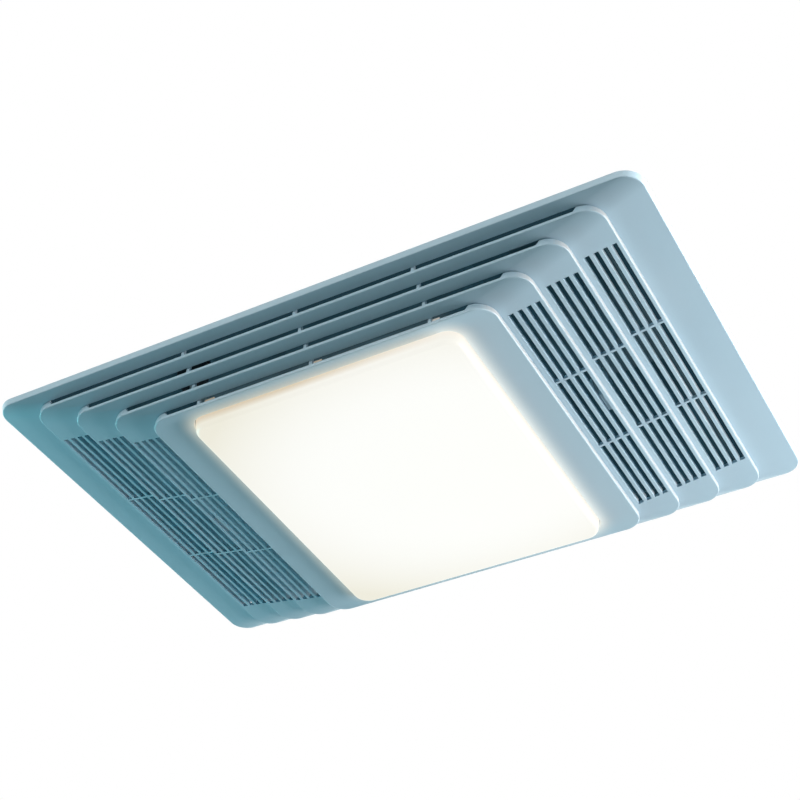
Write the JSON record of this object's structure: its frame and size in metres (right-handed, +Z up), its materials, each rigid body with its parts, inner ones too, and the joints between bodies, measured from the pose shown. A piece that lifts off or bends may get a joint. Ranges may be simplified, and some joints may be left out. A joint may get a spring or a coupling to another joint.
{
  "type": "bathroom fan with light",
  "caption": "Ceiling exhaust fan with a stepped grille, a lit central lens, and a blower in a steel housing with a duct collar.",
  "frame": {"origin": "centre of the ceiling opening, in the plane of the ceiling's face", "axes": "+Z up into the ceiling, +X along the long side towards the duct collar, +Y towards the duct's side of the housing; the grille faces -Z"},
  "size_m": [0.44, 0.293, 0.2349],
  "materials": {
    "grille_plastic": "satin, fine moulded grain",
    "lens_plastic": "frosted, lit from behind",
    "galvanised_steel": "galvanised",
    "spring_steel": "bright drawn wire",
    "reflector_paint": "gloss white",
    "black_plastic": "satin",
    "wheel_plastic": "matte",
    "socket_ceramic": "glazed",
    "opal_glass": "opal, lit",
    "hub_brass": "turned",
    "winding_enamel": "enamelled copper wire",
    "stator_iron": "stacked sheets",
    "grommet_rubber": "matte",
    "lead_sheath": "smooth sheath",
    "ground_paint": "green"
  },
  "bodies": {
    "housing": {"housing_can": "galvanised_steel", "pan_bridge": "galvanised_steel", "blower_scroll": "galvanised_steel", "inlet_plate": "galvanised_steel", "motor_plate": "galvanised_steel", "wiring_cover": "galvanised_steel", "cable_gland": "galvanised_steel", "gland_locknut": "galvanised_steel", "mounting_bracket_left": "galvanised_steel", "mounting_bracket_right": "galvanised_steel", "spring_bracket_left": "galvanised_steel", "spring_bracket_right": "galvanised_steel", "pan_screw_left": "galvanised_steel", "pan_screw_right": "galvanised_steel", "bridge_screw_near": "galvanised_steel", "bridge_screw_far": "galvanised_steel", "wiring_screw": "galvanised_steel", "socket_screw_left": "galvanised_steel", "socket_screw_right": "galvanised_steel", "motor_screw_left": "galvanised_steel", "motor_screw_right": "galvanised_steel", "scroll_screw_1": "galvanised_steel", "scroll_screw_2": "galvanised_steel", "scroll_screw_3": "galvanised_steel", "stud_nut_1": "galvanised_steel", "stud_nut_2": "galvanised_steel", "stud_nut_3": "galvanised_steel", "damper_pin": "spring_steel", "light_pan": "reflector_paint", "inlet_ring": "black_plastic", "lead_bushing": "black_plastic", "duct_collar": "black_plastic", "fan_receptacle": "black_plastic", "light_receptacle": "black_plastic", "fan_plug": "black_plastic", "light_plug": "black_plastic", "lamp_socket_left": "socket_ceramic", "lamp_socket_right": "socket_ceramic", "lamp_left": "opal_glass", "lamp_right": "opal_glass", "bearing_lower": "hub_brass", "bearing_upper": "hub_brass", "motor_coil": "winding_enamel", "stator": "stator_iron", "bearing_plate_lower": "stator_iron", "bearing_plate_upper": "stator_iron", "motor_grommet_left": "grommet_rubber", "motor_grommet_right": "grommet_rubber", "fan_lead": "lead_sheath", "light_lead": "lead_sheath", "ground_screw": "ground_paint"},
    "blower": {"blower_wheel": "wheel_plastic", "wheel_hub": "hub_brass", "motor_shaft": "spring_steel", "rotor": "stator_iron"},
    "damper": {"damper_flap": "black_plastic"},
    "grille": {"grille": "grille_plastic", "spring_left": "spring_steel", "spring_right": "spring_steel"},
    "lens": {"lens": "lens_plastic"}
  },
  "joints": [
    {"name": "blower_spin", "type": "hinge", "parent": "housing", "child": "blower", "pos_m": [-0.025, -0.015, 0.1], "axis": [0, 0, 1], "continuous": true},
    {"name": "damper_swing", "type": "hinge", "parent": "housing", "child": "damper", "pos_m": [0.185, 0.05079, 0.14346], "axis": [0, -1, 0], "range_deg": [0, 80]},
    {"name": "grille_drop", "type": "slide", "parent": "housing", "child": "grille", "axis": [0, 0, -1], "range_m": [0, 0.058]},
    {"name": "lens_release", "type": "slide", "parent": "grille", "child": "lens", "axis": [0, 0, -1], "range_m": [0, 0.05]}
  ]
}
